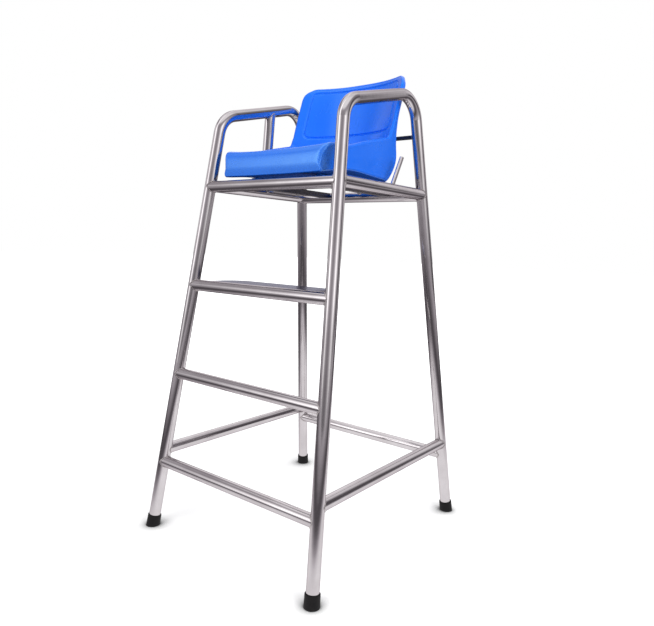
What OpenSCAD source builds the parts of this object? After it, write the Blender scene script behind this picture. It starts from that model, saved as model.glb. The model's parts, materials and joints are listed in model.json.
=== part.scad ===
// Lifeguard chair: two bent stainless side frames, joined by welded rungs and rails,
// carry a moulded bucket seat above a foot plate.
// +Z is up, the chair faces -Y, and the origin is on the floor at the middle of the four feet.

/* [Footprint and lean] */
// Distance between the left and right foot centres
floor_w = 706; // [640:2:780]
// Distance between the front and rear foot centres
floor_d = 797; // [740:1:860]
// Inward lean of each side frame, in degrees
side_lean = 4.18; // [3:0.02:5]
// Lean of the legs within the side frame, in degrees
leg_lean = 8; // [7:0.1:9]

/* [Tube] */
// Outer diameter of the side frame tube
tube_od = 38; // [32:1:42]
// Wall of the side frame tube
tube_wall = 1.5; // [1:0.1:3]
// How much thinner the rung and rail tubes are, so that their coped ends seat
cope_relief = 0.6; // [0.6:0.1:2]
// Wall of the rung and rail tubes
rail_wall = 1.2; // [1:0.1:3]
// Radius of the bends at the arm ends, at the tube's centre line
bend_r = 80; // [60:1:90]
// How much the wall thins in a bend, outside and inside
bend_thinning = 0.06; // [0.04:0.01:0.2]

/* [Heights of the centre lines] */
// Arm, where its line meets the front leg
arm_front_h = 1382; // [1350:1:1420]
// Arm, where its line meets the rear leg
arm_rear_h = 1484; // [1450:1:1520]
// Bottom rung at the front, and the matching rear rail
bottom_rung_h = 222; // [180:1:240]
// Bottom rails at the left and right
bottom_rail_h = 264; // [262:1:320]
// Middle rung
middle_rung_h = 525; // [480:1:560]
// Top rung, which carries the foot plate
top_rung_h = 825; // [790:1:850]
// Front and rear seat rails
seat_rail_h = 1152; // [1130:1:1165]
// How far the left and right seat rails stand above the front and rear ones
side_rail_rise = 3; // [2:0.5:8]

/* [Foot plate] */
// Width of the foot plate
plate_w = 440; // [380:5:470]
// Depth of the foot plate behind the rung's centre line
plate_d = 128; // [90:1:150]
// Sheet thickness of the foot plate
plate_t = 3; // [2:0.5:4]
// Depth of the folded lip
plate_lip = 14; // [8:1:20]
// Radius of the rear corners
plate_corner_r = 70; // [30:1:85]
// How far the plate's top lies below the top of the rung
plate_drop = 1; // [0.5:0.5:4]

/* [Seat carriers] */
// Distance between the two bearers
bearer_span_w = 270; // [220:2:300]
// Width of a bearer
bearer_w = 30; // [24:1:40]
// Height of a bearer
bearer_h = 18; // [14:1:22]
// Wall of a bearer
bearer_wall = 1.5; // [1:0.1:2.5]
// How far the bearers lie below the top of the seat rails
bearer_drop = 2; // [1:0.5:4]
// Diameter of the rubber spacers
spacer_d = 28; // [20:1:30]
// Height of the rubber spacers
spacer_h = 11; // [6:1:16]
// Bolt hole through a spacer
spacer_bore = 8.4; // [6:0.1:10]
// How far the front spacers lie behind the seat's front face
front_spacer_len = 90; // [70:1:110]
// How far the rear spacers lie behind the seat's front face
rear_spacer_len = 295; // [270:1:310]

/* [Back stay, arm post and brackets] */
// Diameter of the stay bar behind the backrest
stay_d = 14; // [10:1:18]
// Height of the stay bar
stay_h = 1345; // [1320:1:1370]
// Gap between the stay bar and the backrest that leans on it
stay_gap = 0.4; // [0.3:0.1:3]
// Place of the post under the left arm, from the middle of the chair
post_y = 22; // [-40:1:60]
// Diameter of the back bracket rods
bracket_d = 14; // [10:1:18]
// Length of the back bracket rods from the seat rail's centre line
bracket_len = 128; // [90:1:150]
// Backward lean of the back bracket rods, in degrees
bracket_lean = 33; // [20:1:40]
// Place of the foot of the bracket rods, from the middle of the chair
bracket_y = 35; // [20:1:60]

/* [Foot caps] */
// Height of a foot cap along the leg
cap_h = 37; // [30:1:60]
// Wall of a foot cap at its mouth
cap_wall = 3.2; // [2:0.2:5]
// How much wider the foot cap is at the floor, on the radius
cap_flare = 1.6; // [0:0.2:4]
// Rubber under the tube's end
cap_sole = 12; // [8:1:16]

/* [Seat shell] */
// Width of the seat
seat_w = 438; // [400:2:450]
// Least gap between the seat and the arm tubes, which widens the frame for a wider seat
seat_side_gap = 6; // [4:1:20]
// Length of the seat, from its front face to the back of the rim at the top
seat_len = 503; // [480:1:520]
// Distance from the seat's front face to the stay bar's centre line
seat_stay_len = 449; // [440:1:455]
// Height of the rolled front edge
front_roll_h = 78; // [60:1:90]
// Height of the top of the backrest above the seat's underside
back_top_h = 373; // [350:1:390]
// How much lower the backrest's top is at its corners
back_top_drop = 3; // [0:1:15]
// Thickness of the backrest
back_t = 24; // [18:1:26]
// How far the backrest's edges wrap forward
back_wrap = 62; // [40:1:75]
// Radius of the backrest's upper corners
back_corner_r = 51; // [30:1:70]
// Radius of the seat's front corners
front_corner_r = 42; // [25:1:60]
// Radius of the front face's lower corners
front_edge_r = 16; // [8:1:24]
// Diameter of the moulded bosses under the seat
boss_d = 36; // [30:1:44]
// Height of the moulded bosses below the seat's underside
boss_h = 2; // [1:0.5:4]

/* [Hidden] */
$fn = 64;

steel = "silver";
rubber = "black";
tube_r = tube_od / 2;
rail_r = tube_r - cope_relief / 2;
half_w = max(floor_w / 2, seat_w / 2 + seat_side_gap + tube_r + arm_rear_h * tan(side_lean));
half_d = floor_d / 2;
eps = 0.01;
tuck = 1;

// A place on the right side frame: v runs up its inclined plane.
function plane_v(z) = z / cos(side_lean);
function leg_x(z) = half_w - z * tan(side_lean);
function leg_y(z) = half_d - plane_v(z) * tan(leg_lean);
function rail_top(z) = z + rail_r;

// Where the centre lines of arm and legs meet, in the side plane.
arm_front_corner = [-leg_y(arm_front_h), plane_v(arm_front_h)];
arm_rear_corner = [leg_y(arm_rear_h), plane_v(arm_rear_h)];

// Headings are measured in the side plane from straight up towards the rear.
front_heading = leg_lean;
arm_rise = plane_v(arm_rear_h) - plane_v(arm_front_h);
arm_run = leg_y(arm_front_h) + leg_y(arm_rear_h);
arm_heading = 90 - atan(arm_rise / arm_run);
rear_heading = 180 - leg_lean;
front_turn = arm_heading - front_heading;
rear_turn = rear_heading - arm_heading;
front_tangent = bend_r * tan(front_turn / 2);
rear_tangent = bend_r * tan(rear_turn / 2);
front_leg_len = plane_v(arm_front_h) / cos(leg_lean);
rear_leg_len = plane_v(arm_rear_h) / cos(leg_lean);
arm_len = sqrt(arm_rise * arm_rise + arm_run * arm_run);

side_rail_h = seat_rail_h + side_rail_rise;
seat_rail_y = leg_y(seat_rail_h);
bearer_top = rail_top(seat_rail_h) - bearer_drop;
boss_bottom = bearer_top + spacer_h;
seat_bottom = boss_bottom + boss_h;
stay_y = leg_y(stay_h);
seat_front_y = stay_y - seat_stay_len;
spacer_front_y = seat_front_y + front_spacer_len;
spacer_rear_y = seat_front_y + rear_spacer_len;

// ---- placing helpers ----

function step(p, heading, len) = [p[0] + len * sin(heading), p[1] + len * cos(heading)];

// Puts children, drawn in the YZ plane, on the inclined plane of a side frame.
module on_side(side) {
    mirror([side < 0 ? 1 : 0, 0, 0])
        translate([half_w, 0, 0])
            rotate([0, -side_lean, 0])
                children();
}

// A straight round bar in the YZ plane.
module bar(p, heading, len, r) {
    translate([0, p[0], p[1]])
        rotate([-heading, 0, 0])
            cylinder(r = r, h = len);
}

// A bend in the YZ plane that starts at p and turns towards the rear.
module bend(p, heading, turn, r) {
    centre = step(p, heading + 90, bend_r);
    translate([0, centre[0], centre[1]])
        rotate([-heading, 0, 0])
            rotate([90, 0, -90])
                rotate_extrude(angle = turn)
                    translate([bend_r, 0])
                        circle(r = r);
}

// ---- side frames ----

// The bent line of a side frame, from toe to toe. The straight runs tuck a little way
// into the bends, whose own radius differs by the thinning of the bent wall.
module bent_line(r, bent_r, over = 0) {
    front_run = front_leg_len - front_tangent - cap_sole;
    arm_run_len = arm_len - front_tangent - rear_tangent;
    rear_run = rear_leg_len - rear_tangent - cap_sole;
    toe_f = step([-half_d, 0], front_heading, cap_sole);
    bend_f = step(toe_f, front_heading, front_run);
    arm_f = step(arm_front_corner, arm_heading, front_tangent);
    arm_r = step(arm_f, arm_heading, arm_run_len);
    leg_r = step(arm_rear_corner, rear_heading, rear_tangent);
    bar(step(toe_f, front_heading, -over), front_heading, front_run + tuck + over, r);
    bend(bend_f, front_heading, front_turn, bent_r);
    bar(step(arm_f, arm_heading, -tuck), arm_heading, arm_run_len + 2 * tuck, r);
    bend(arm_r, arm_heading, rear_turn, bent_r);
    bar(step(leg_r, rear_heading, -tuck), rear_heading, rear_run + tuck + over, r);
}

module side_frame(side) {
    color(steel)
        on_side(side)
            difference() {
                bent_line(tube_r, tube_r - bend_thinning);
                bent_line(tube_r - tube_wall, tube_r - tube_wall + bend_thinning, 1);
            }
}

// The solid front or rear leg of one side, used to cope what meets it.
module leg_core(side, front) {
    on_side(side)
        if (front)
            bar([-half_d, 0], front_heading, front_leg_len, tube_r);
        else
            mirror([0, 1, 0])
                bar([-half_d, 0], front_heading, front_leg_len, tube_r);
}

// ---- rungs and rails ----

// A crosswise bar between two legs, coped to both.
module cross_core(z, y, r) {
    translate([-leg_x(z), y, z])
        rotate([0, 90, 0])
            cylinder(r = r, h = 2 * leg_x(z));
}

module cross_rail(z, front, r = rail_r, wall = rail_wall) {
    y = front ? -leg_y(z) : leg_y(z);
    difference() {
        cross_core(z, y, r);
        if (wall > 0)
            cross_core(z, y, r - wall);
        for (side = [-1, 1])
            leg_core(side, front);
    }
}

// A rail along one side frame, coped to its front and rear leg.
module side_rail_core(side, z, r) {
    on_side(side)
        bar([-leg_y(z), plane_v(z)], 90, 2 * leg_y(z), r);
}

module side_rail(side, z) {
    difference() {
        side_rail_core(side, z, rail_r);
        side_rail_core(side, z, rail_r - rail_wall);
        for (front = [true, false])
            leg_core(side, front);
    }
}

module seat_side_rail(side) {
    color(steel)
        difference() {
            side_rail(side, side_rail_h);
            for (end = [-1, 1])
                cross_core(seat_rail_h, end * seat_rail_y, rail_r);
        }
}

// ---- foot plate ----

plate_top = rail_top(top_rung_h) - plate_drop;
plate_front_y = -leg_y(top_rung_h);

// Outline of the plate: square at the rung, round at the rear corners.
module plate_outline(inset = 0) {
    w = plate_w / 2 - inset;
    d = plate_d - inset;
    r = plate_corner_r - inset;
    union() {
        translate([-w, 0])
            square([2 * w, d - r]);
        translate([-w + r, 0])
            square([2 * (w - r), d]);
        for (side = [-1, 1])
            translate([side * (w - r), d - r])
                circle(r = r);
    }
}

module foot_plate() {
    color(steel)
        difference() {
            translate([0, plate_front_y, plate_top - plate_lip])
                difference() {
                    linear_extrude(plate_lip)
                        plate_outline();
                    translate([0, -eps, -eps])
                        linear_extrude(plate_lip - plate_t + eps)
                            plate_outline(plate_t);
                }
            cross_core(top_rung_h, plate_front_y, rail_r);
            translate([-plate_w, plate_front_y - rail_r, plate_top - 2 * rail_r])
                cube([2 * plate_w, rail_r, 3 * rail_r]);
        }
}

// ---- seat carriers ----

module seat_bearer(side) {
    length = 2 * seat_rail_y;
    color(steel)
        difference() {
            translate([side * bearer_span_w / 2 - bearer_w / 2, -length / 2, bearer_top - bearer_h])
                difference() {
                    cube([bearer_w, length, bearer_h]);
                    translate([bearer_wall, -1, bearer_wall])
                        cube([bearer_w - 2 * bearer_wall, length + 2, bearer_h - 2 * bearer_wall]);
                }
            for (end = [-1, 1]) {
                cross_core(seat_rail_h, end * seat_rail_y, rail_r);
                translate([0, end * (seat_rail_y + bearer_h), bearer_top])
                    cube([2 * bearer_span_w, 2 * bearer_h, 4 * bearer_h], center = true);
            }
            for (y = [spacer_front_y, spacer_rear_y])
                translate([side * bearer_span_w / 2, y, bearer_top - 2 * bearer_h])
                    cylinder(d = spacer_bore, h = 3 * bearer_h);
        }
}

module spacer(side, y) {
    color(rubber)
        translate([side * bearer_span_w / 2, y, bearer_top])
            difference() {
                cylinder(d = spacer_d, h = spacer_h);
                translate([0, 0, -1])
                    cylinder(d = spacer_bore, h = spacer_h + 2);
            }
}

// ---- post, stay and brackets ----

module left_arm_post() {
    post_r = rail_r - cope_relief / 2;
    post_v = plane_v(side_rail_h);
    reach = plane_v(arm_rear_h) - post_v;
    color(steel)
        difference() {
            on_side(-1)
                bar([post_y, post_v], 0, reach, post_r);
            on_side(-1)
                bar([post_y, post_v - 1], 0, reach + 2, post_r - rail_wall);
            side_rail_core(-1, side_rail_h, rail_r);
            on_side(-1)
                arm_and_above();
        }
}

// Everything from the arm tube upwards, used to cut the post to length.
module arm_and_above() {
    bar(arm_front_corner, arm_heading, arm_len, tube_r);
    translate([0, arm_front_corner[0], arm_front_corner[1]])
        rotate([90 - arm_heading, 0, 0])
            translate([-2 * tube_od, 0, 0])
                cube([4 * tube_od, arm_len, 4 * tube_od]);
}

module back_bracket(side) {
    color(steel)
        difference() {
            on_side(side)
                bar([bracket_y, plane_v(side_rail_h)], bracket_lean, bracket_len, bracket_d / 2);
            side_rail_core(side, side_rail_h, rail_r);
        }
}

// ---- foot caps ----

module foot_cap(side, front) {
    color(rubber)
        difference() {
            on_side(side)
                mirror([0, front ? 0 : 1, 0])
                    translate([0, -half_d, 0])
                        rotate([-front_heading, 0, 0])
                            difference() {
                                translate([0, 0, -cap_sole])
                                    cylinder(r1 = tube_r + cap_wall + cap_flare,
                                             r2 = tube_r + cap_wall,
                                             h = cap_h + cap_sole);
                                translate([0, 0, cap_sole])
                                    cylinder(r = tube_r, h = cap_h);
                            }
            translate([0, 0, -50])
                cube([2 * floor_w, 2 * floor_d, 100], center = true);
        }
}

// ---- seat shell ----
// The shell is a loft of closed loops. Each station along the seat, from the front
// edge to the top of the back, has a point on the sitting side and one on the outer
// side, at the middle and at the edge. Across the seat the surface goes from middle
// to edge by a power of the distance, so it is flat in the middle and turns up late.

across_power = 2.6;
stations = 46;
cells_across = 20;
cells_round_edge = 6;
cells_round_top = 4;
edge_share = 0.035;
flat_share = 1 - edge_share;
rim_r = back_t / 3;
rim_share = 0.7;

// A guide point: a share of the seat's depth and of the back's height, in thousandths,
// plus a real length each way.
function guide(deep, high, dy = 0, dz = 0) =
    [deep * seat_len / 1000 + dy, high * back_top_h / 1000 + dz];

// The outer side passes the stay bar here, square to the back's own slope.
back_slope = 14;
rest = [seat_stay_len - (stay_d / 2 + stay_gap) / cos(back_slope), stay_h - seat_bottom];
fold = -back_wrap;
low = -back_top_drop;

// Side views of the four guiding lines, as y from the seat's front face and height
// above its underside.
inner_mid = [
    guide(6, 2), guide(0, 80), guide(14, 0, 0, front_roll_h * 0.81),
    guide(68, 0, 0, front_roll_h), guide(219, 163), guide(417, 136), guide(656, 152),
    guide(765, 228), guide(809, 380), guide(843, 557), guide(889, 774),
    guide(930, 940), guide(947, 1000, 0, -rim_r)
];
inner_edge = [
    guide(6, 8), guide(0, 86), guide(14, 0, 0, front_roll_h * 0.86),
    guide(68, 0, 0, front_roll_h * 1.11), guide(219, 245), guide(417, 318), guide(596, 378),
    guide(660, 402), guide(809, 462, fold), guide(843, 576, fold), guide(889, 774, fold),
    guide(930, 940, fold, low), guide(947, 1000, fold, low - rim_r)
];
outer_mid = [
    guide(14, -3), guide(48, -4), guide(119, 0), guide(219, 0), guide(338, 0), guide(596, 0),
    guide(672, 11), guide(795, 136), guide(855, 330), rest,
    guide(889, 774, back_t), guide(926, 940, back_t), guide(943, 1000, back_t, -rim_r)
];
outer_edge = [
    guide(14, 0), guide(48, 3), guide(119, 20), guide(219, 36), guide(338, 38),
    guide(596, 19), guide(676, 22), guide(760, 179), guide(756, 353), guide(766, 576),
    guide(889, 774, back_t + fold), guide(926, 940, back_t + fold, low),
    guide(943, 1000, back_t + fold, low - rim_r)
];

// Catmull-Rom line through a list of points, t from 0 to 1.
function near(list, i) = list[max(0, min(len(list) - 1, i))];
function spline(list, t) =
    let (s = t * (len(list) - 1), i = min(floor(s), len(list) - 2), f = s - i,
         a = near(list, i - 1), b = list[i], c = list[i + 1], d = near(list, i + 2))
    0.5 * (2 * b + (c - a) * f + (2 * a - 5 * b + 4 * c - d) * f * f
        + (3 * b - a - 3 * c + d) * f * f * f);

// How much a round corner takes off the half width at a distance from the end.
function corner_cut(distance, r) =
    distance >= r ? 0 : r - sqrt(max(0, r * r - pow(r - max(0, distance), 2)));

// One loop: sitting side, right edge, outer side, left edge.
loop_marks = concat(
    [for (i = [0:cells_across]) [flat_share * (2 * i / cells_across - 1), 1]],
    [for (i = [1:cells_round_edge - 1]) let (a = 90 - 180 * i / cells_round_edge)
        [flat_share + edge_share * cos(a), sin(a)]],
    [for (i = [0:cells_across]) [flat_share * (1 - 2 * i / cells_across), -1]],
    [for (i = [1:cells_round_edge - 1]) let (a = 270 - 180 * i / cells_round_edge)
        [-flat_share + edge_share * cos(a), sin(a)]]
);

// Stations up to the top rim, then the steps that round the rim over and close it.
rows = concat(
    [for (k = [0:stations]) [k / stations, 0]],
    [for (k = [1:cells_round_top]) [1, 90 * k / cells_round_top]]
);

function shell_point(row, mark) =
    let (t = row[0], turn = row[1], u = mark[0],
         bend_up = pow(min(1, abs(u) / flat_share), across_power),
         mid = spline(inner_mid, t),
         inner = mid * (1 - bend_up) + spline(inner_edge, t) * bend_up,
         outer = spline(outer_mid, t) * (1 - bend_up) + spline(outer_edge, t) * bend_up,
         centre = (inner + outer) / 2,
         p = centre + (inner - centre) * mark[1] * (1 - rim_share * (1 - cos(turn))),
         rise = rim_r * sin(turn),
         width = seat_w / 2 - (t < 0.5
             ? corner_cut(mid[0] + front_corner_r / 7, front_corner_r)
                 + corner_cut(mid[1] + front_edge_r / 7, front_edge_r)
             : corner_cut(back_top_h - mid[1] - rise + 1, back_corner_r)))
    [u * width, seat_front_y + p[0], seat_bottom + p[1] + rise];

module seat_loft() {
    n = len(loop_marks);
    last = len(rows) - 1;
    points = [for (row = rows) for (mark = loop_marks) shell_point(row, mark)];
    skin = [for (k = [0:last - 1]) for (i = [0:n - 1])
        let (a = k * n + i, b = k * n + (i + 1) % n)
        each [[a, b + n, b], [a, a + n, b + n]]];
    first_cap = [for (i = [0:n - 1]) i];
    last_cap = [for (i = [0:n - 1]) last * n + n - 1 - i];
    polyhedron(points = points, faces = concat(skin, [first_cap, last_cap]), convexity = 8);
}

module seat_shell() {
    color("dodgerblue")
        union() {
            seat_loft();
            for (side = [-1, 1])
                for (y = [spacer_front_y, spacer_rear_y])
                    translate([side * bearer_span_w / 2, y, boss_bottom])
                        cylinder(d = boss_d, h = boss_h + 14, $fn = 32);
        }
}

// ---- the assembly ----

side_frame(1);  // right_side_frame
side_frame(-1);  // left_side_frame
color(steel) cross_rail(bottom_rung_h, true);  // bottom_front_rung
color(steel) cross_rail(middle_rung_h, true);  // middle_rung
color(steel) cross_rail(top_rung_h, true);  // top_rung
foot_plate();
color(steel) cross_rail(bottom_rung_h, false);  // bottom_rear_rail
color(steel) side_rail(1, bottom_rail_h);  // right_bottom_rail
color(steel) side_rail(-1, bottom_rail_h);  // left_bottom_rail
color(steel) cross_rail(seat_rail_h, true);  // seat_front_rail
color(steel) cross_rail(seat_rail_h, false);  // seat_rear_rail
seat_side_rail(1);  // right_seat_rail
seat_side_rail(-1);  // left_seat_rail
seat_bearer(1);  // right_seat_bearer
seat_bearer(-1);  // left_seat_bearer
spacer(1, spacer_front_y);  // front_right_spacer
spacer(-1, spacer_front_y);  // front_left_spacer
spacer(1, spacer_rear_y);  // rear_right_spacer
spacer(-1, spacer_rear_y);  // rear_left_spacer
color("dimgray") cross_rail(stay_h, false, stay_d / 2, 0);  // back_stay_bar
left_arm_post();
back_bracket(1);  // right_back_bracket
back_bracket(-1);  // left_back_bracket
seat_shell();
foot_cap(1, true);  // front_right_foot
foot_cap(-1, true);  // front_left_foot
foot_cap(1, false);  // rear_right_foot
foot_cap(-1, false);  // rear_left_foot
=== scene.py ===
"""Lifeguard chair: bent stainless side frames, rungs, foot plate and a moulded bucket seat.

Most CAD nodes are shown as they are. The seat shell is made again with its recessed back panel and matte
underside, painted a darker blue as shade, and the foot caps with grooves and a rolled mouth. Weld beads
and bolts under the seat are added.
Right, front and up are seen as by someone in front of the chair: +X, -Y and +Z.
"""
import json
import math

import bmesh
import bpy
import numpy as np
from mathutils import Matrix, Vector


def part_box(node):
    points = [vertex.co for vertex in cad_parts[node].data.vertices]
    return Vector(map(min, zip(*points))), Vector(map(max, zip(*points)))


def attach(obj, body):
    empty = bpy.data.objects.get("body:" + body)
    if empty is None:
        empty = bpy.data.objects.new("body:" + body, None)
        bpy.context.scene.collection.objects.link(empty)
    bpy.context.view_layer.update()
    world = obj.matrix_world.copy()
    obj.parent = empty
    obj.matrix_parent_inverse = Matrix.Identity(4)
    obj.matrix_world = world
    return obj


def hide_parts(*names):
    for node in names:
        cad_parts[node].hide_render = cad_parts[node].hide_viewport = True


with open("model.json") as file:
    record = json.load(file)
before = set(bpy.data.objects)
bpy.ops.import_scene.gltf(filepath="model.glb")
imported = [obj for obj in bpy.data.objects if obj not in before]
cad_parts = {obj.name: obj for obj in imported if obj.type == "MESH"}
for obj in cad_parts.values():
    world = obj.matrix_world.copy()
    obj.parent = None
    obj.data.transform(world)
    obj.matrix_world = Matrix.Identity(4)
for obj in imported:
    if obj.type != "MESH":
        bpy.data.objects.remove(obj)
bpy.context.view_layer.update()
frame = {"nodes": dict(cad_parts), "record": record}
nodes = frame["nodes"]
scene = bpy.context.scene
MM = 0.001

# ---- the chair's lines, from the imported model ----

# The side frames lean inwards, and their legs lean towards each other
SIDE_LEAN = math.radians(4.18)
LEG_LEAN = math.radians(8.0)
# The legs and arms, the rungs and rails, the post, and the stay bar and bracket rods
TUBE_R = 19.0 * MM
RAIL_R = 18.7 * MM
POST_R = 18.4 * MM
ROD_R = 7.0 * MM
SPACERS = ["front_right_spacer", "front_left_spacer", "rear_right_spacer", "rear_left_spacer"]


def middle(node):
    low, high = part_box(node)
    return (low + high) / 2


soles = [Vector(m["pos_m"]) for m in frame["record"]["mounts"]]
HALF_W = max(abs(p.x) for p in soles)
HALF_D = max(abs(p.y) for p in soles)


def leg_point(side, end, z):
    """A point on a leg's centre line at a height; side is +1 on the right, end -1 in front."""
    x = HALF_W - z * math.tan(SIDE_LEAN)
    y = HALF_D - z / math.cos(SIDE_LEAN) * math.tan(LEG_LEAN)
    return Vector((side * x, end * y, z))


def leg_axis(side, end):
    """The foot of a leg's centre line and its direction."""
    foot = leg_point(side, end, 0)
    return foot, (leg_point(side, end, 1) - foot).normalized()


# ---- mesh helpers ----

def make(name, verts, faces, mats, slot, smooth=True):
    """A mesh object that rides on the chair."""
    mesh = bpy.data.meshes.new(name)
    mesh.from_pydata([tuple(v) for v in verts], [], faces)
    for mat in mats:
        mesh.materials.append(mat)
    mesh.validate()
    mesh.update()
    mesh.polygons.foreach_set("use_smooth", [smooth] * len(mesh.polygons))
    obj = bpy.data.objects.new(name, mesh)
    scene.collection.objects.link(obj)
    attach(obj, "root")
    return obj


def face_outwards(obj):
    """Turns every face of a closed mesh outwards."""
    bm = bmesh.new()
    bm.from_mesh(obj.data)
    bmesh.ops.recalc_face_normals(bm, faces=bm.faces)
    bm.to_mesh(obj.data)
    bm.free()


def basis(axis):
    """Two directions square to axis."""
    axis = Vector(axis).normalized()
    ref = Vector((0, 0, 1)) if abs(axis.z) < 0.9 else Vector((0, 1, 0))
    u = axis.cross(ref).normalized()
    return u, axis.cross(u).normalized()


def lathe(profile, centre, axis, sides=48):
    """Verts and faces of rings of (radius, distance along axis) round an axis; closed where a radius is 0."""
    u, v = basis(axis)
    axis = Vector(axis).normalized()
    verts, faces, rings = [], [], []
    for r, h in profile:
        at = Vector(centre) + axis * h
        if r <= 1e-7:
            rings.append([len(verts)])
            verts.append(at)
        else:
            rings.append(range(len(verts), len(verts) + sides))
            for k in range(sides):
                a = 2 * math.pi * k / sides
                verts.append(at + (u * math.cos(a) + v * math.sin(a)) * r)
    for a, b in zip(rings[:-1], rings[1:]):
        for k in range(sides):
            n = (k + 1) % sides
            if len(a) == 1 and len(b) == 1:
                continue
            if len(a) == 1:
                faces.append((a[0], b[n], b[k]))
            elif len(b) == 1:
                faces.append((a[k], a[n], b[0]))
            else:
                faces.append((a[k], a[n], b[n], b[k]))
    return verts, faces


def in_mm(profile):
    """A profile given in millimetres, in metres."""
    return [(r * MM, h * MM) for r, h in profile]


def join_parts(parts):
    verts, faces = [], []
    for v, f in parts:
        start = len(verts)
        verts += list(v)
        faces += [tuple(i + start for i in face) for face in f]
    return verts, faces


def ring_tube(points, normals, radii, sides=8):
    """A round bead along a closed line of points, with a radius for each point."""
    n = len(points)
    verts, faces = [], []
    for i, p in enumerate(points):
        ahead = points[(i + 1) % n] - points[i - 1]
        ahead.normalize()
        u = normals[i] - ahead * normals[i].dot(ahead)
        u.normalize()
        w = ahead.cross(u)
        for k in range(sides):
            a = 2 * math.pi * k / sides
            verts.append(p + (u * math.cos(a) + w * math.sin(a)) * radii[i])
    for i in range(n):
        j = (i + 1) % n
        for k in range(sides):
            m = (k + 1) % sides
            faces.append((i * sides + k, i * sides + m, j * sides + m, j * sides + k))
    return verts, faces


# ---- node helpers ----

def node(tree, kind, **values):
    """A new node, with the values of its inputs or else of its settings."""
    n = tree.nodes.new(kind)
    for key, value in values.items():
        if key in n.inputs:
            n.inputs[key].default_value = value
        else:
            setattr(n, key, value)
    return n


def object_place(tree, scale=(1, 1, 1)):
    place = node(tree, "ShaderNodeTexCoord")
    mapping = node(tree, "ShaderNodeMapping", Scale=scale)
    tree.links.new(place.outputs["Object"], mapping.inputs["Vector"])
    return mapping.outputs["Vector"]


def noise(tree, place, scale, detail=4.0, rough=0.55, distortion=0.0):
    n = node(tree, "ShaderNodeTexNoise", Scale=scale, Detail=detail, Roughness=rough, Distortion=distortion)
    tree.links.new(place, n.inputs["Vector"])
    return n.outputs["Fac"]


def ramp(tree, factor, stops):
    """Colours between (place, colour) stops."""
    r = node(tree, "ShaderNodeValToRGB")
    el = r.color_ramp.elements
    while len(el) < len(stops):
        el.new(0.5)
    for e, (at, colour) in zip(el, stops):
        e.position = at
        e.color = (*colour, 1)
    tree.links.new(factor, r.inputs["Fac"])
    return r.outputs["Color"]


def span(tree, factor, low, high, start=0.0, end=1.0):
    """Numbers from low to high as the factor goes from start to end."""
    m = node(tree, "ShaderNodeMapRange")
    m.inputs["From Min"].default_value = start
    m.inputs["From Max"].default_value = end
    m.inputs["To Min"].default_value = low
    m.inputs["To Max"].default_value = high
    tree.links.new(factor, m.inputs["Value"])
    return m.outputs["Result"]


def separate(tree, vector):
    """The X, Y and Z of a vector."""
    split = node(tree, "ShaderNodeSeparateXYZ")
    tree.links.new(vector, split.inputs[0])
    return split.outputs


def add_bump(tree, shader, heights):
    """Chains bumps of (height output, strength, distance)."""
    last = None
    for height, strength, distance in heights:
        b = node(tree, "ShaderNodeBump", Strength=strength, Distance=distance)
        tree.links.new(height, b.inputs["Height"])
        if last is not None:
            tree.links.new(last, b.inputs["Normal"])
        last = b.outputs["Normal"]
    tree.links.new(last, shader.inputs["Normal"])


# ---- materials ----

def material(name, **values):
    """A new material, its node tree and its shader, with values for the shader's inputs."""
    mat = bpy.data.materials.new(name)
    mat.use_nodes = True
    shader = mat.node_tree.nodes["Principled BSDF"]
    for key, value in values.items():
        shader.inputs[key.replace("_", " ")].default_value = value
    return mat, mat.node_tree, shader


def dress(tree, shader, colour, roughness, bumps):
    tree.links.new(colour, shader.inputs["Base Color"])
    tree.links.new(roughness, shader.inputs["Roughness"])
    add_bump(tree, shader, bumps)


def polished_steel():
    mat, tree, shader = material("polished_stainless_tube", Metallic=1.0, Specular_Tint=(0.62, 0.58, 0.60, 1))
    place = object_place(tree)
    broad = noise(tree, place, 9.0, 3.0)
    fine = noise(tree, object_place(tree, (1, 1, 0.25)), 420.0, 5.0, 0.7)
    dents = noise(tree, place, 26.0, 2.0)
    dress(tree, shader, ramp(tree, broad, [(0.3, (0.62, 0.595, 0.60)), (0.7, (0.74, 0.72, 0.725))]),
          span(tree, fine, 0.05, 0.13, 0.3, 0.75), [(fine, 0.03, 0.0003), (dents, 0.08, 0.0012)])
    return mat


def weld_steel():
    mat, tree, shader = material("dressed_weld", Metallic=1.0)
    place = object_place(tree)
    patch = noise(tree, place, 160.0, 4.0, 0.7)
    dress(tree, shader, ramp(tree, patch, [(0.3, (0.46, 0.43, 0.42)), (0.7, (0.66, 0.64, 0.63))]),
          span(tree, patch, 0.26, 0.44), [(noise(tree, place, 700.0, 3.0), 0.25, 0.0004)])
    return mat


def bearer_steel():
    mat, tree, shader = material("brushed_bearer_steel", Metallic=1.0)
    lines = noise(tree, object_place(tree, (14, 1, 14)), 30.0, 6.0, 0.75)
    dents = noise(tree, object_place(tree), 14.0, 2.0)
    dress(tree, shader, ramp(tree, lines, [(0.3, (0.152, 0.144, 0.152)), (0.7, (0.19, 0.18, 0.19))]),
          span(tree, lines, 0.28, 0.46, 0.3, 0.7), [(lines, 0.22, 0.0005), (dents, 0.12, 0.002)])
    return mat


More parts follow.
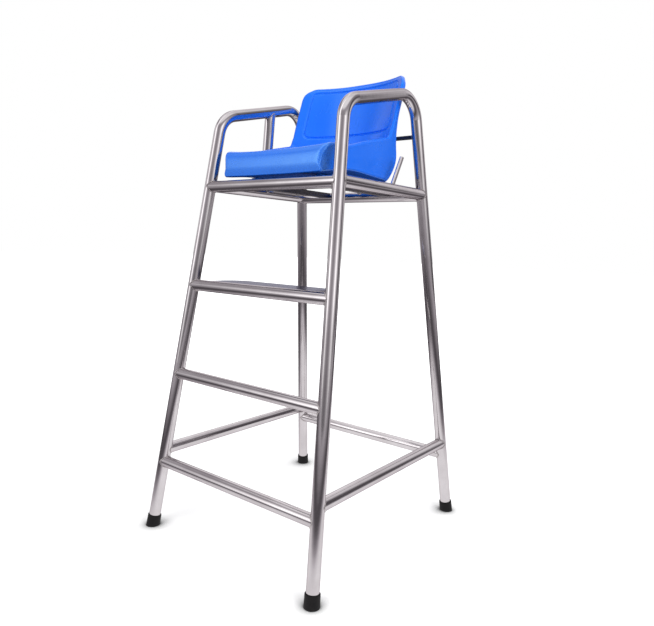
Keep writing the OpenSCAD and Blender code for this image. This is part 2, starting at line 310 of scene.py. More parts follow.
def plate_steel():
    mat, tree, shader = material("folded_plate_steel", Metallic=1.0, Specular_Tint=(0.26, 0.26, 0.34, 1))
    lines = noise(tree, object_place(tree, (1, 14, 14)), 30.0, 6.0, 0.75)
    # thin sheet that has gone wavy along its length; the greys, leaning a little blue, follow the waves as a
    # painted reflection streak, light between darker sides
    waves = noise(tree, object_place(tree, (0.35, 4, 4)), 14.0, 2.0, 0.6, 0.6)
    painted_streak_greys = [(0.36, (0.34, 0.34, 0.37)), (0.50, (0.56, 0.56, 0.60)), (0.64, (0.44, 0.44, 0.48))]
    dress(tree, shader, ramp(tree, waves, painted_streak_greys), span(tree, lines, 0.12, 0.26, 0.3, 0.7),
          [(lines, 0.08, 0.0004), (waves, 0.5, 0.004)])
    return mat


def dark_bar():
    # near-black: the stay bar's dark is painted shade and dark reflection
    mat, tree, shader = material("dark_bar_painted_shade")
    place = object_place(tree)
    patch = noise(tree, place, 60.0, 5.0, 0.7)
    dress(tree, shader, ramp(tree, patch, [(0.35, (0.012, 0.013, 0.017)), (0.75, (0.035, 0.036, 0.042))]),
          span(tree, patch, 0.34, 0.58, 0.3, 0.7), [(noise(tree, place, 900.0, 3.0), 0.2, 0.0003)])
    return mat


def seat_plastic():
    """A blue gloss, with a painted highlight along the front edge, where the index of refraction is raised.
    """
    gloss = {"Specular_IOR_Level": 0.9, "Specular_Tint": (0.40, 0.80, 1.0, 1)}
    mat, tree, shader = material("blue_moulded_plastic", **gloss)
    place = object_place(tree)
    broad = noise(tree, place, 5.0, 3.0)
    grain = noise(tree, place, 420.0, 3.0, 0.6)
    scuffs = noise(tree, object_place(tree, (3, 1, 1)), 16.0, 3.0, 0.6)
    dress(tree, shader, ramp(tree, broad, [(0.3, (0.005, 0.136, 0.80)), (0.7, (0.007, 0.154, 0.88))]),
          span(tree, scuffs, 0.20, 0.30, 0.3, 0.75), [(grain, 0.012, 0.0002), (broad, 0.06, 0.004)])
    # the painted highlight of the front edge ends here, and the plain gloss begins a little behind it
    painted_highlight_to, plain_from = -0.22, -0.19
    index = span(tree, separate(tree, place)["Y"], 2.2, 1.5, painted_highlight_to, plain_from)
    tree.links.new(index, shader.inputs["IOR"])
    return mat


def seat_underside():
    # matte, and a darker blue than the sitting side: painted shade under the seat
    mat, tree, shader = material("blue_plastic_underside_painted_shade", Specular_IOR_Level=0.08)
    place = object_place(tree)
    broad = noise(tree, place, 60.0, 4.0, 0.7)
    dress(tree, shader, ramp(tree, broad, [(0.3, (0.004, 0.06, 0.34)), (0.7, (0.005, 0.09, 0.50))]),
          span(tree, broad, 0.62, 0.8), [(noise(tree, place, 260.0, 3.0), 0.3, 0.0006)])
    return mat


def black_rubber():
    mat, tree, shader = material("black_rubber", Specular_IOR_Level=0.3)
    place = object_place(tree)
    dust = noise(tree, place, 90.0, 5.0, 0.7)
    dress(tree, shader, ramp(tree, dust, [(0.4, (0.002, 0.002, 0.0025)), (0.85, (0.011, 0.010, 0.010))]),
          span(tree, dust, 0.5, 0.78), [(noise(tree, place, 1200.0, 3.0), 0.25, 0.0003)])
    return mat


def bolt_steel():
    mat, tree, shader = material("bolt_steel", Metallic=1.0)
    patch = noise(tree, object_place(tree), 300.0, 4.0, 0.7)
    dress(tree, shader, ramp(tree, patch, [(0.3, (0.48, 0.47, 0.46)), (0.7, (0.62, 0.61, 0.60))]),
          span(tree, patch, 0.22, 0.4), [(patch, 0.15, 0.0003)])
    return mat


WELD = weld_steel()
PLASTIC = seat_plastic()
PAINTED_SHADE_UNDERSIDE = seat_underside()
RUBBER = black_rubber()
BOLT = bolt_steel()
FINISH = {"polished_tube": polished_steel(), "plate_steel": plate_steel(), "bearer_steel": bearer_steel(),
          "dark_bar": dark_bar(), "seat_plastic": PLASTIC, "black_rubber": RUBBER}
# the spacers under the seat take the near-black rubber in place of their own finish: painted shade where they
# sit
for name, obj in nodes.items():
    for mat_slot in obj.material_slots:
        mat_slot.material = RUBBER if name in SPACERS else FINISH[mat_slot.material.name.split(".")[0]]

# ---- seat shell, in mm ----

# Front face to back, underside to top, and the thickness of the back
SEAT_LEN, BACK_TOP, BACK_T = 503.0, 373.0, 24.0
# How far the back's edges stand forward, and how far its top edge drops at the sides
WRAP, BACK_DROP = 62.0, 3.0
# Height of the front roll, and the roll at the top edge
ROLL, RIM = 78.0, 8.0
# The shell's round corners: in front from above, at the underside from the front, and at the top of the back
FRONT_CORNER, FOOT_CORNER, BACK_CORNER = 42.0, 16.0, 51.0
# How much of each of these corners is already past at the shell's end
FRONT_PAST, FOOT_PAST, BACK_PAST = 6.0, 16.0 / 7, 1.0
# The walls rise with this power of the distance from the middle, and are full at this share of the half width
ACROSS_POWER, FLAT = 2.6, 0.965
# Front face to the stay bar behind the back, the bar's radius with its gap, and how far the back leans there
STAY_LEN, STAY_TOUCH, BACK_SLOPE = 449.0, 7.4, math.radians(14)
# Round edges along the walls: the largest, and the most as a share of the wall's thickness and the half width
FILLET, FILLET_SHARE, FILLET_WIDTH_SHARE = 13.0, 0.34, 0.2
# Height of the bosses, and their outline from the sole up, sunk into the shell
BOSS_H = 2.0
BOSS = [(0, 0), (16.8, 0), (17.6, 0.3), (18.0, 1.0), (19.5, 3.5)]
# Faces that look down are matte, in a darker blue that is painted shade, up to this far above the underside
MATTE_AND_SHADE_TO = 30.0

stay = middle("back_stay_bar") / MM
seat_low, seat_high = (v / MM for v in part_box("seat_shell"))
SEAT_W = seat_high.x - seat_low.x
REACH = SEAT_W / 2
FRONT_Y = stay.y - STAY_LEN
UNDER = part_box("front_right_spacer")[1].z / MM + BOSS_H


def guide(deep, high, dy=0.0, dz=0.0):
    """A share of the seat's depth and the back's height, in thousandths, plus a real length each way."""
    return deep * SEAT_LEN / 1000 + dy, high * BACK_TOP / 1000 + dz


# The back's edges against its middle, forward and down, and where its outer side passes the stay bar
FOLD, LOW = -WRAP, -BACK_DROP
REST = (STAY_LEN - STAY_TOUCH / math.cos(BACK_SLOPE), stay.z - UNDER)
# Four guide lines from the front face over the sitting side, or under the outer side, to the top edge
INNER_MID = [guide(6, 2), guide(0, 80), guide(14, 0, 0, ROLL * 0.81), guide(68, 0, 0, ROLL),
             guide(219, 163), guide(417, 136), guide(656, 152), guide(765, 228), guide(809, 380),
             guide(843, 557), guide(889, 774), guide(930, 940), guide(947, 1000, 0, -RIM)]
INNER_EDGE = [guide(6, 8), guide(0, 86), guide(14, 0, 0, ROLL * 0.86), guide(68, 0, 0, ROLL * 1.11),
              guide(219, 245), guide(417, 318), guide(596, 378), guide(660, 402), guide(809, 462, FOLD),
              guide(843, 576, FOLD), guide(889, 774, FOLD), guide(930, 940, FOLD, LOW),
              guide(947, 1000, FOLD, LOW - RIM)]
OUTER_MID = [guide(14, -3), guide(48, -4), guide(119, 0), guide(219, 0), guide(338, 0), guide(596, 0),
             guide(672, 11), guide(795, 136), guide(855, 330), REST, guide(889, 774, BACK_T),
             guide(926, 940, BACK_T), guide(943, 1000, BACK_T, -RIM)]
OUTER_EDGE = [guide(14, 0), guide(48, 3), guide(119, 20), guide(219, 36), guide(338, 38), guide(596, 19),
              guide(676, 22), guide(760, 179), guide(756, 353), guide(766, 576),
              guide(889, 774, BACK_T + FOLD), guide(926, 940, BACK_T + FOLD, LOW),
              guide(943, 1000, BACK_T + FOLD, LOW - RIM)]
GUIDES = [np.array(line, float) for line in (INNER_MID, INNER_EDGE, OUTER_MID, OUTER_EDGE)]

# The back's panel: half width, lower and upper edge, and corners
PANEL_X, PANEL_LOW, PANEL_HIGH, PANEL_R = 185.0, 183.0, BACK_TOP - 22.0, 19.0
# The channel round the panel: its depth, and how wide its slope is on each side
CHANNEL, CHANNEL_IN, CHANNEL_OUT = 4.4, 4.5, 7.0

# Stations along the guides, points across, and steps round a fillet, along a wall and round the top edge
STATIONS, COLUMNS, FILLET_STEPS, WALL_STEPS, RIM_STEPS = 150, 64, 8, 8, 6
# Spacing at the channel, along and across, and how far it runs past the channel's lines
FINE_ROW, FINE_COLUMN = 1.5, 1.6
ROWS_BELOW, ROWS_ABOVE, COLUMNS_OUTSIDE, COLUMNS_INSIDE = 14, 12, 12, 4
# The back begins at this place along the guides
BACK_FROM = 0.6
# Height of the fine ridge where the mould parts, half way down the wall
PARTING = 0.5


def along(line, t):
    """A smooth line through the points, at t from 0 to 1."""
    spans = len(line) - 1
    i = min(int(t * spans), spans - 1)
    f = t * spans - i
    a, b, c, d = (line[min(max(k, 0), spans)] for k in (i - 1, i, i + 1, i + 2))
    straight, bend, twist = c - a, 2 * a - 5 * b + 4 * c - d, 3 * b - a - 3 * c + d
    return 0.5 * (2 * b + straight * f + bend * f * f + twist * f ** 3)


def corner_cut(distance, radius):
    """How much narrower a round corner makes the shell at a distance from its end."""
    if distance >= radius:
        return 0.0
    return radius - math.sqrt(max(0.0, radius ** 2 - (radius - max(distance, 0.0)) ** 2))


def smooth_step(x):
    x = min(max(x, 0.0), 1.0)
    return x * x * (3 - 2 * x)


def channel_depth(x, height):
    """Depth of the moulded channel round the back's panel: steep on the panel's side, easy outside it."""
    px = abs(x) - (PANEL_X - PANEL_R)
    pz = abs(height - (PANEL_LOW + PANEL_HIGH) / 2) - ((PANEL_HIGH - PANEL_LOW) / 2 - PANEL_R)
    outside = math.hypot(max(px, 0), max(pz, 0)) + min(max(px, pz), 0) - PANEL_R
    if outside < 0:
        return CHANNEL * smooth_step(1 + outside / CHANNEL_IN)
    return CHANNEL * smooth_step(1 - outside / CHANNEL_OUT)


def seat_columns():
    """Numbers across the seat, evenly, and closer together where the channel runs."""
    line = PANEL_X * REACH / (REACH - FILLET_SHARE * BACK_T)
    out = {round(-REACH + 2 * REACH * k / COLUMNS, 4) for k in range(COLUMNS + 1)}
    outside, inside = COLUMNS_OUTSIDE, PANEL_R + COLUMNS_INSIDE
    for a, b in ((-line - outside, -line + inside), (line - inside, line + outside)):
        out |= {round(a + FINE_COLUMN * k, 4) for k in range(int((b - a) / FINE_COLUMN) + 1)}
    return sorted(out)


def seat_rows():
    """Places along the guides, closer where the channel runs across, then the turns of the top edge."""
    even = [k / STATIONS for k in range(STATIONS + 1)]
    lines = ((PANEL_LOW, PANEL_LOW + PANEL_R), (PANEL_HIGH - PANEL_R, PANEL_HIGH))
    rows = [0.0]
    for a, b in zip(even[:-1], even[1:]):
        ha, hb = along(GUIDES[0], a)[1], along(GUIDES[0], b)[1]
        near_line = any(low - ROWS_BELOW < (ha + hb) / 2 < high + ROWS_ABOVE for low, high in lines)
        steps = max(1, math.ceil(abs(hb - ha) / FINE_ROW)) if near_line and a > BACK_FROM else 1
        rows += [a + (b - a) * k / steps for k in range(1, steps + 1)]
    # the last turn stops just short of the middle, so that the end strips have some width
    turns = [math.pi / 2 * k / (RIM_STEPS + 0.2) for k in range(1, RIM_STEPS + 1)]
    return [(t, 0.0) for t in rows] + [(1.0, turn) for turn in turns]


def seat_loop(t, turn, columns):
    """One closed loop round the shell at a station: sitting side, right wall, outer side, left wall."""
    inner_mid, inner_edge, outer_mid, outer_edge = (along(line, t) for line in GUIDES)
    rise = RIM * math.sin(turn)
    thin = 1 - math.cos(turn) if turn else 0.0
    if t < 0.5:
        cut = corner_cut(inner_mid[0] + FRONT_PAST, FRONT_CORNER)
        cut += corner_cut(inner_mid[1] + FOOT_PAST, FOOT_CORNER)
    else:
        cut = corner_cut(BACK_TOP - inner_mid[1] - rise + BACK_PAST, BACK_CORNER)
    width = REACH - cut
    edge_t = float(np.linalg.norm(inner_edge - outer_edge))
    fillet = min(FILLET, FILLET_SHARE * edge_t, FILLET_WIDTH_SHARE * width)
    flat = width - fillet

    def place(x, share):
        """share is 0 on the sitting side and 1 on the outer side."""
        b = min(1.0, abs(x) / REACH / FLAT) ** ACROSS_POWER
        inner, outer = inner_mid * (1 - b) + inner_edge * b, outer_mid * (1 - b) + outer_edge * b
        p = inner + (outer - inner) * share
        p = p + ((inner + outer) / 2 - p) * thin
        back = p[0]
        if share == 0.0 and t > 0.5:
            back += channel_depth(x, p[1] + rise) * (1 - thin)
        return Vector((x, FRONT_Y + back, UNDER + p[1] + rise)) * MM

    turns = [math.pi / 2 * k / FILLET_STEPS for k in range(1, FILLET_STEPS)]
    edge = [(flat + fillet * math.sin(a), fillet * (1 - math.cos(a)) / edge_t) for a in turns]
    wall = list(edge)
    for k in range(WALL_STEPS + 1):
        share = fillet / edge_t + (1 - 2 * fillet / edge_t) * k / WALL_STEPS
        wall.append((width if k == WALL_STEPS // 2 else width - PARTING, share))
    wall += [(x, 1 - share) for x, share in reversed(edge)]
    top = [place(x * flat / REACH, 0.0) for x in columns]
    right = [place(x, share) for x, share in wall]
    under = [place(-x * flat / REACH, 1.0) for x in columns]
    left = [place(-x, share) for x, share in reversed(wall)]
    return top + right + under + left


def seat_shell():
    columns = seat_columns()
    loops = [seat_loop(t, turn, columns) for t, turn in seat_rows()]
    n = len(loops[0])
    verts = [v for loop in loops for v in loop]
    faces = [(k * n + i, (k + 1) * n + i, (k + 1) * n + (i + 1) % n, k * n + (i + 1) % n)
             for k in range(len(loops) - 1) for i in range(n)]
    # both ends are closed by strips from the sitting side to the outer side
    half_wall = (n - 2 * len(columns)) // 4
    across = 2 * len(columns) + 2 * half_wall
    for start in (0, (len(loops) - 1) * n):
        for i in range(-half_wall - 1, len(columns) + half_wall):
            quad = [start + j % n for j in (i, i + 1, across - i - 1, across - i)]
            faces.append(tuple(dict.fromkeys(quad)))
    return verts, faces


def seat_boss(spacer):
    at = middle(spacer)
    return lathe(in_mm(BOSS), (at.x, at.y, (UNDER - BOSS_H) * MM), (0, 0, 1))


seat_parts = [seat_shell(), *(seat_boss(name) for name in SPACERS)]
seat = make("seat_shell_moulded", *join_parts(seat_parts), [PLASTIC, PAINTED_SHADE_UNDERSIDE], slot="seat_plastic")
face_outwards(seat)
# faces that look down near the underside take the darker matte plastic, painted shade
for face in seat.data.polygons:
    if face.normal.z < -0.8 and face.center.z < (UNDER + MATTE_AND_SHADE_TO) * MM:
        face.material_index = 1
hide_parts("seat_shell")

# ---- foot caps ----

# How far a cap reaches up the leg, and down before the floor cuts it; its radius at the mouth and its flare
CAP_H, CAP_SOLE, CAP_MOUTH, CAP_FLARE = 37.0 * MM, 12.0 * MM, 22.2 * MM, 1.2 * MM
GROOVE_HEIGHTS, GROOVE_DEPTH, GROOVE_HALF = (11 * MM, 17 * MM, 23 * MM), 0.8 * MM, 1.6 * MM
# The rolled mouth, and below the top: its middle, the end of the wall, and the inner edge close to the tube
LIP_R, LIP_BELOW, WALL_BELOW, GRIP_BELOW, GRIP_GAP = 1.6 * MM, 1.8 * MM, 2.2 * MM, 4 * MM, 0.05 * MM
# Steps down the wall and round the mouth, and points round the cap
CAP_STEPS, LIP_STEPS, CAP_SIDES = 26, 6, 64


def foot_cap(side, end):
    """A moulded rubber cap: flared to the floor, three grooves, a rolled mouth that grips the tube."""
    foot, axis = leg_axis(side, end)
    full = CAP_H + CAP_SOLE

    def wall(h):
        return CAP_MOUTH + CAP_FLARE * (CAP_H - h) / full

    profile = [(0, -CAP_SOLE), (wall(-CAP_SOLE), -CAP_SOLE)]
    for k in range(1, CAP_STEPS):
        h = -CAP_SOLE + (full - WALL_BELOW) * k / CAP_STEPS
        groove = sum(GROOVE_DEPTH * smooth_step(1 - abs(h - at) / GROOVE_HALF) for at in GROOVE_HEIGHTS)
        profile.append((wall(h) - groove, h))
    for k in range(LIP_STEPS + 1):
        a = math.pi * k / LIP_STEPS
        profile.append((CAP_MOUTH - LIP_R + LIP_R * math.cos(a), CAP_H - LIP_BELOW + LIP_R * math.sin(a)))
    profile.append((TUBE_R + GRIP_GAP, CAP_H - GRIP_BELOW))
    verts, faces = lathe(profile, foot, axis, CAP_SIDES)
    # the sole is cut level with the floor
    verts = [v - axis * (v.z / axis.z) if v.z < 0 else v for v in verts]
    return verts, faces


FEET = [("front_right", 1, -1), ("front_left", -1, -1), ("rear_right", 1, 1), ("rear_left", -1, 1)]
for name, side, end in FEET:
    cap = make(name + "_cap_moulded", *foot_cap(side, end), [RUBBER], slot="black_rubber")
    face_outwards(cap)
    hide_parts(name + "_foot")

# ---- welds ----

# Radii of the beads: on the rungs and rails, round the post, and round the thin bars
RAIL_BEAD, POST_BEAD, THIN_BEAD = 2.3 * MM, 2.2 * MM, 1.6 * MM
# The beads' ripples: their height, their length in steps of the ring, and how uneven they are
RIPPLE, RIPPLE_STEPS, UNEVEN = 0.10, 3.5, 0.08
# Heights where the arm leaves its front and its rear bend
ARM_FRONT_Z, ARM_REAR_Z = 1.382, 1.484
# Place and backward lean of the bracket rods on the seat's side rails
ROD_Y, ROD_LEAN = 35 * MM, math.radians(33)
# Heights of the rails; the side rails of the seat lie this much above the front and rear ones
SIDE_RAIL_RISE = 3.0 * MM
SEAT_RAIL_Z = middle("seat_front_rail").z
SIDE_RAIL_Z = SEAT_RAIL_Z + SIDE_RAIL_RISE
BOTTOM_Z = middle("bottom_front_rung").z
LOW_SIDE_Z = middle("right_bottom_rail").z
# Points round a bead, and round the bead of a bracket rod
RING_STEPS, ROD_RING_STEPS = 84, 60
random = np.random.default_rng(7)


def weld_ring(start, along_bar, r, other, other_axis, other_r, steps=RING_STEPS):
    """The closed line where a bar from start meets a round tube's side, and the bar's outward directions."""
    u, v = basis(along_bar)
    points, normals = [], []
    for k in range(steps):
        a = 2 * math.pi * k / steps
        out = u * math.cos(a) + v * math.sin(a)
        base = start + out * r - other
        across_base = base - other_axis * base.dot(other_axis)
        across_dir = along_bar - other_axis * along_bar.dot(other_axis)
        qa, qb = across_dir.dot(across_dir), across_base.dot(across_dir)
        qc = across_base.dot(across_base) - other_r ** 2
        root = math.sqrt(max(0.0, qb * qb - qa * qc))
        points.append(start + out * r + along_bar * ((-qb + root) / qa))
        normals.append(out)
    return points, normals


def bead(ring, radius):
    """A weld bead with the small even ripples of a steady hand."""
    points, normals = ring
    waves = [RIPPLE * math.sin(k * 2 * math.pi / RIPPLE_STEPS) for k in range(len(points))]
    radii = [radius * (1 + wave + UNEVEN * float(random.standard_normal())) for wave in waves]
    return ring_tube(points, normals, radii)


def leg_weld(side, end, z, inwards, r, radius):
    """The bead round a bar of radius r that leaves a leg inwards."""
    foot, axis = leg_axis(side, end)
    return bead(weld_ring(leg_point(side, end, z), inwards, r, foot, axis, TUBE_R), radius)


def cross_welds(z, end, r=RAIL_R, radius=RAIL_BEAD):
    """Both ends of a rung or rail between the left and right legs."""
    return [leg_weld(side, end, z, Vector((-side, 0, 0)), r, radius) for side in (-1, 1)]


def side_welds(z, side):
    """Both ends of a rail between the front and rear legs."""
    return [leg_weld(side, end, z, Vector((0, -end, 0)), RAIL_R, RAIL_BEAD) for end in (-1, 1)]


def rail_weld(foot, direction, r, radius, steps=RING_STEPS):
    """The bead round a post or rod that stands on a side rail of the seat."""
    return bead(weld_ring(foot, direction, r, foot, Vector((0, 1, 0)), RAIL_R, steps), radius)


def post_and_bracket_welds():
    """The post under the left arm, at both ends, and the two bracket rods."""
    lean = Vector((math.sin(SIDE_LEAN), 0, math.cos(SIDE_LEAN)))
    rail = leg_point(-1, -1, SIDE_RAIL_Z)
    foot = Vector((rail.x, middle("left_arm_post").y, SIDE_RAIL_Z))
    front_bend, rear_bend = leg_point(-1, -1, ARM_FRONT_Z), leg_point(-1, 1, ARM_REAR_Z)
    arm = (rear_bend - front_bend).normalized()
    # the upper ring is found from any point on the post's line above the arm
    above_arm = foot + lean * 0.5
    parts = [rail_weld(foot, lean, POST_R, POST_BEAD),
             bead(weld_ring(above_arm, -lean, POST_R, front_bend, arm, TUBE_R), POST_BEAD)]
    for side in (-1, 1):
        foot = Vector((-side * rail.x, ROD_Y, SIDE_RAIL_Z))
        rod = Vector((-side * math.sin(SIDE_LEAN) * math.cos(ROD_LEAN), math.sin(ROD_LEAN),
                      math.cos(SIDE_LEAN) * math.cos(ROD_LEAN)))
        parts.append(rail_weld(foot, rod, ROD_R, THIN_BEAD, ROD_RING_STEPS))
    return parts


WELDS = {"bottom_rung_welds": cross_welds(BOTTOM_Z, -1),
         "bottom_rear_welds": cross_welds(BOTTOM_Z, 1),
         "middle_rung_welds": cross_welds(middle("middle_rung").z, -1),
         "top_rung_welds": cross_welds(middle("top_rung").z, -1),
         "seat_front_rail_welds": cross_welds(SEAT_RAIL_Z, -1),
         "seat_rear_rail_welds": cross_welds(SEAT_RAIL_Z, 1),
         "right_side_rail_welds": side_welds(LOW_SIDE_Z, 1) + side_welds(SIDE_RAIL_Z, 1),
         "left_side_rail_welds": side_welds(LOW_SIDE_Z, -1) + side_welds(SIDE_RAIL_Z, -1),
         "stay_bar_welds": cross_welds(stay.z * MM, 1, ROD_R, THIN_BEAD),
         "post_and_bracket_welds": post_and_bracket_welds()}
for name, parts in WELDS.items():
    face_outwards(make(name, *join_parts(parts), [WELD], slot="polished_tube"))

# ---- bolts through the bearers and spacers into the seat's bosses ----

BEARER_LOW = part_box("right_seat_bearer")[0].z
# Profiles in mm from the bearer's underside: the washer, the hexagon head with its chamfer, and the shank
WASHER = [(4.2, 0), (8.0, 0), (8.2, -0.3), (8.2, -1.3), (7.9, -1.6), (4.2, -1.6)]
HEAD = [(7.5, -1.6), (7.5, -6.0), (6.3, -6.9), (0.0, -6.9)]
SHANK = [(0, 17), (3.9, 17), (3.9, -1.6), (0, -1.6)]


def hex_head(under):
    """A hexagon head as rings of twelve points; its corners are cut round at the end."""
    rings = in_mm(HEAD)
    end = rings[-1][1]
    verts, faces = [], []
    for r, z in rings:
        for k in range(12):
            a = math.pi / 6 * k
            reach = r * math.cos(math.pi / 6) if k % 2 and z > end else r
            verts.append(under + Vector((reach * math.cos(a), reach * math.sin(a), z)))
    for j in range(len(rings) - 1):
        for k in range(12):
            n = (k + 1) % 12
            faces.append((j * 12 + k, j * 12 + n, (j + 1) * 12 + n, (j + 1) * 12 + k))
    return verts, faces


for name in SPACERS:
    at = middle(name)
    under = Vector((at.x, at.y, BEARER_LOW))
    washer = lathe(in_mm(WASHER), under, (0, 0, 1), 40)
    shank = lathe(in_mm(SHANK), under, (0, 0, 1), 24)
    bolt = join_parts([washer, hex_head(under), shank])
    make(name.replace("spacer", "seat_bolt"), *bolt, [BOLT], slot="polished_tube", smooth=False)

# ---- floor and room ----

FLOOR_HALF = 30.0
# What the camera sees: white paper that glows faintly near the chair and fully far away, by distance in m
PAPER, GLOW_REACH = 0.8, 4.0
GLOW = [(1.0, 0.34), (1.8, 0.6), (3.2, 1.0)]
# The painted contact shadow, a dark line round each foot: its grey, its reach in m, and the floor's share by
# how open the corner is
PAINTED_SHADOW_GREY, PAINTED_SHADOW_REACH = 0.02, 0.06
OPENNESS = [(0.45, 0.0), (0.70, 0.45), (0.97, 1.0)]
# The floor in reflections, by distance in m: its white middle lies a little to the right and reaches behind
FLOOR_SHIFT, FLOOR_BEHIND, FLOOR_REACH = 0.2, 0.42, 10.0
FLOOR_SHADES = [(0.0, 0.95), (0.65, 0.92), (0.9, 0.75), (1.15, 0.44), (1.4, 0.24), (1.75, 0.11), (2.4, 0.09),
                (3.4, 0.18), (5.0, 0.28), (9.0, 0.42)]
# The room in reflections, in degrees from straight in front, left is minus: soft boxes and dark gaps
WALLS = [(-180, 0.72), (-152, 0.9), (-140, 1.25), (-126, 1.1), (-110, 0.34), (-96, 0.6), (-74, 1.15),
         (-58, 0.34), (-47, 0.8), (-38, 1.75), (-24, 1.65), (-14, 0.78), (0, 0.46), (14, 0.33), (36, 0.34),
         (48, 0.5), (62, 0.85), (75, 1.5), (88, 1.35), (98, 0.8), (112, 0.48), (124, 0.34), (131, 0.09),
         (146, 0.13), (154, 0.75), (164, 0.95), (180, 0.72)]
# Where round the room the part above the walls shows
OPEN_SIDES = [(-135, 0.1), (-115, 1), (-60, 1), (-50, 0.15), (-28, 0.1), (-14, 1), (120, 1), (152, 0.7),
              (172, 0.1)]
# Up from level, where 1 is straight up: that part's greys, how much of it shows, and how the walls fade
ABOVE = [(0.40, 0.31), (0.50, 0.38), (0.60, 0.95)]
ABOVE_SHARE = [(0.30, 0.0), (0.40, 0.9), (0.56, 1.0)]
HORIZON = [(0.0, 0.5), (0.05, 0.66), (0.11, 1.0)]


def grey(v):
    return v, v, v


def tinted(v):
    """A grey of the room: the darker, the more it leans to purple."""
    return v, v * (0.89 + 0.085 * min(v, 1.0)), v * 0.995


def calculate(tree, operation, *values):
    """One step of arithmetic on outputs or numbers."""
    n = node(tree, "ShaderNodeMath", operation=operation)
    for socket, value in zip(n.inputs, values):
        if isinstance(value, bpy.types.NodeSocket):
            tree.links.new(value, socket)
        else:
            socket.default_value = value
    return n.outputs[0]


def length(tree, vector):
    n = node(tree, "ShaderNodeVectorMath", operation="LENGTH")
    tree.links.new(vector, n.inputs[0])
    return n.outputs["Value"]


def multiply(tree, first, second):
    """The product of two colours."""
    n = node(tree, "ShaderNodeMix", data_type="RGBA", blend_type="MULTIPLY", Factor=1.0)
    tree.links.new(first, n.inputs[6])
    tree.links.new(second, n.inputs[7])
    return n.outputs[2]


def shine(tree, kind, colour):
    """An emission or background of a colour output, or of a plain grey."""
    n = node(tree, kind)
    if isinstance(colour, bpy.types.NodeSocket):
        tree.links.new(colour, n.inputs["Color"])
    else:
        n.inputs["Color"].default_value = (*grey(colour), 1)
    return n.outputs[0]


def choose(tree, factor, first, second):
    """The first shader where the factor is 0, and the second where it is 1."""
    n = node(tree, "ShaderNodeMixShader")
    tree.links.new(factor, n.inputs["Fac"])
    tree.links.new(first, n.inputs[1])
    tree.links.new(second, n.inputs[2])
    return n.outputs[0]


def by_bearing(stops, colour):
    return [(at / 360 + 0.5, colour(v)) for at, v in stops]


def by_share(stops, colour, whole=1.0):
    return [(at / whole, colour(v)) for at, v in stops]


def white_floor(tree, position):
    """The floor that the camera sees, with the soft shadow of the chair and a painted contact shadow, a dark
    line round each foot.
    """
    paper = node(tree, "ShaderNodeBsdfDiffuse", Color=(*grey(PAPER), 1))
    far = span(tree, length(tree, position), 0, 1, 0.0, GLOW_REACH)
    lit = node(tree, "ShaderNodeAddShader")
    tree.links.new(paper.outputs[0], lit.inputs[0])
    glow = ramp(tree, far, by_share(GLOW, grey, GLOW_REACH))
    tree.links.new(shine(tree, "ShaderNodeEmission", glow), lit.inputs[1])
    # painted contact shadow: a near-black glow where ambient occlusion finds the floor shut in by a foot
    close = node(tree, "ShaderNodeAmbientOcclusion", samples=12, Distance=PAINTED_SHADOW_REACH)
    openness = ramp(tree, close.outputs["AO"], by_share(OPENNESS, grey))
    return choose(tree, openness, shine(tree, "ShaderNodeEmission", PAINTED_SHADOW_GREY), lit.outputs[0])


def mirrored_floor(tree, position):
    """The floor in reflections: white paper under and behind the chair, the dim studio floor beyond it."""
    split = separate(tree, position)
    joined = node(tree, "ShaderNodeCombineXYZ")
    behind = calculate(tree, "MULTIPLY", split["Y"], FLOOR_BEHIND)
    tree.links.new(calculate(tree, "SUBTRACT", split["X"], FLOOR_SHIFT), joined.inputs["X"])
    tree.links.new(calculate(tree, "MINIMUM", split["Y"], behind), joined.inputs["Y"])
    far = span(tree, length(tree, joined.outputs[0]), 0, 1, 0.0, FLOOR_REACH)
    shade = ramp(tree, far, by_share(FLOOR_SHADES, tinted, FLOOR_REACH))
    return shine(tree, "ShaderNodeEmission", shade)


def stage_floor():
    mesh = bpy.data.meshes.new("studio_floor")
    s = FLOOR_HALF
    mesh.from_pydata([(-s, -s, 0), (s, -s, 0), (s, s, 0), (-s, s, 0)], [], [(0, 1, 2, 3)])
    obj = bpy.data.objects.new("studio_floor", mesh)
    scene.collection.objects.link(obj)
    mat = bpy.data.materials.new("studio_floor")
    mat.use_nodes = True
    tree = mat.node_tree
    tree.nodes.clear()
    path = node(tree, "ShaderNodeLightPath").outputs
    position = node(tree, "ShaderNodeNewGeometry").outputs["Position"]
    # the light that the floor throws back comes from a greyer one, so that undersides stay dark
    dull = node(tree, "ShaderNodeBsdfDiffuse", Color=(0.34, 0.34, 0.35, 1))
    unseen = choose(tree, path["Is Glossy Ray"], dull.outputs[0], mirrored_floor(tree, position))
    surface = choose(tree, path["Is Camera Ray"], unseen, white_floor(tree, position))
    tree.links.new(surface, node(tree, "ShaderNodeOutputMaterial").inputs["Surface"])
    mesh.materials.append(mat)


def mirrored_room(tree, direction):
    """The room in reflections: walls with soft boxes, and a bright part above them."""
    bearing = calculate(tree, "ARCTAN2", direction["X"], calculate(tree, "MULTIPLY", direction["Y"], -1))
    bearing = span(tree, bearing, 0, 1, -math.pi, math.pi)
    up = span(tree, calculate(tree, "ARCSINE", direction["Z"]), 0, 1, 0, math.pi / 2)
    room = node(tree, "ShaderNodeMix", data_type="RGBA")
    share = multiply(tree, ramp(tree, up, by_share(ABOVE_SHARE, grey)),
                     ramp(tree, bearing, by_bearing(OPEN_SIDES, grey)))
    tree.links.new(share, room.inputs["Factor"])
    tree.links.new(ramp(tree, bearing, by_bearing(WALLS, tinted)), room.inputs[6])
    tree.links.new(ramp(tree, up, by_share(ABOVE, tinted)), room.inputs[7])
    return multiply(tree, room.outputs[2], ramp(tree, up, by_share(HORIZON, grey)))


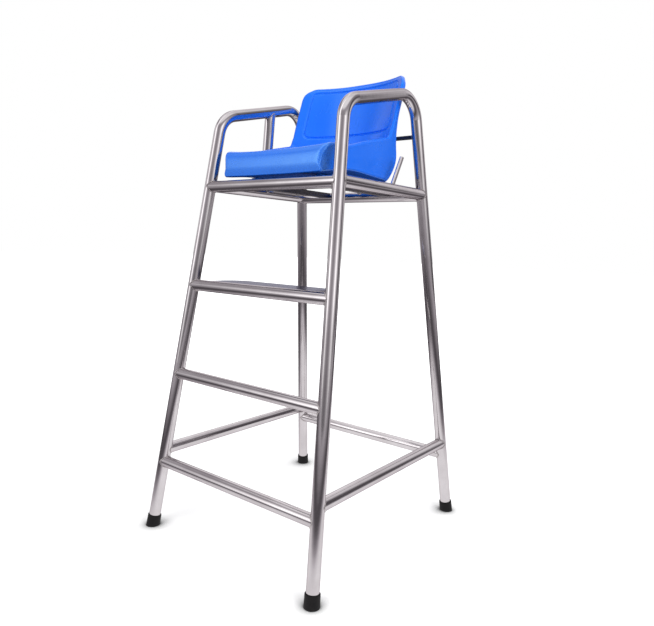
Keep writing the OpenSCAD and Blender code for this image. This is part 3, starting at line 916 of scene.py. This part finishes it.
def studio_world():
    world = bpy.data.worlds.new("studio")
    scene.world = world
    world.use_nodes = True
    tree = world.node_tree
    tree.nodes.clear()
    path = node(tree, "ShaderNodeLightPath").outputs
    direction = separate(tree, node(tree, "ShaderNodeTexCoord").outputs["Generated"])
    # the light itself is stronger from the right than from the left
    across = span(tree, direction["X"], 0, 1, -1, 1)
    light = ramp(tree, across, [(0.1, (0.26, 0.26, 0.27)), (0.5, (0.72, 0.72, 0.73)), (0.9, grey(1.05))])
    unseen = choose(tree, path["Is Glossy Ray"], shine(tree, "ShaderNodeBackground", light),
                    shine(tree, "ShaderNodeBackground", mirrored_room(tree, direction)))
    surface = choose(tree, path["Is Camera Ray"], unseen, shine(tree, "ShaderNodeBackground", 1.0))
    tree.links.new(surface, node(tree, "ShaderNodeOutputWorld").inputs["Surface"])


stage_floor()
studio_world()

# ---- lamps and camera ----


def lamp(name, place, aim, size, power):
    """A soft box that lights the chair and is not seen itself, nor in reflections."""
    data = bpy.data.lights.new(name, "AREA")
    data.shape = "RECTANGLE"
    data.size, data.size_y = size
    data.energy = power
    obj = bpy.data.objects.new(name, data)
    scene.collection.objects.link(obj)
    obj.location = place
    obj.rotation_euler = (Vector(aim) - Vector(place)).to_track_quat("-Z", "Y").to_euler()
    obj.visible_camera = False
    obj.visible_glossy = False


lamp("front_softbox", (-0.3, -3.4, 1.7), (0, 0, 1.0), (1.8, 1.6), 46)
lamp("right_softbox", (3.0, -0.9, 1.7), (0, 0, 1.1), (1.4, 1.8), 46)
lamp("top_softbox", (0.4, 0.3, 3.6), (0, 0, 0.6), (2.2, 2.2), 22)
lamp("rear_softbox", (0.9, 3.4, 1.6), (0, 0, 1.0), (2.0, 1.6), 22)

# Place in m, heading round the chair, tilt from straight down, and roll
CAMERA_AT = (1.27447, -1.57094, 0.97697)
HEADING, TILT, CAMERA_ROLL = math.radians(37.7018), math.radians(90 - 6.6774), math.radians(2.111)
camera_data = bpy.data.cameras.new("camera")
camera_data.sensor_width = 36.0
camera_data.lens = 32.39
camera = bpy.data.objects.new("camera", camera_data)
scene.collection.objects.link(camera)
camera.location = CAMERA_AT
turn = Matrix.Rotation(HEADING, 4, "Z") @ Matrix.Rotation(TILT, 4, "X") @ Matrix.Rotation(CAMERA_ROLL, 4, "Z")
camera.rotation_euler = turn.to_euler()
scene.camera = camera

scene.view_settings.view_transform = "Standard"
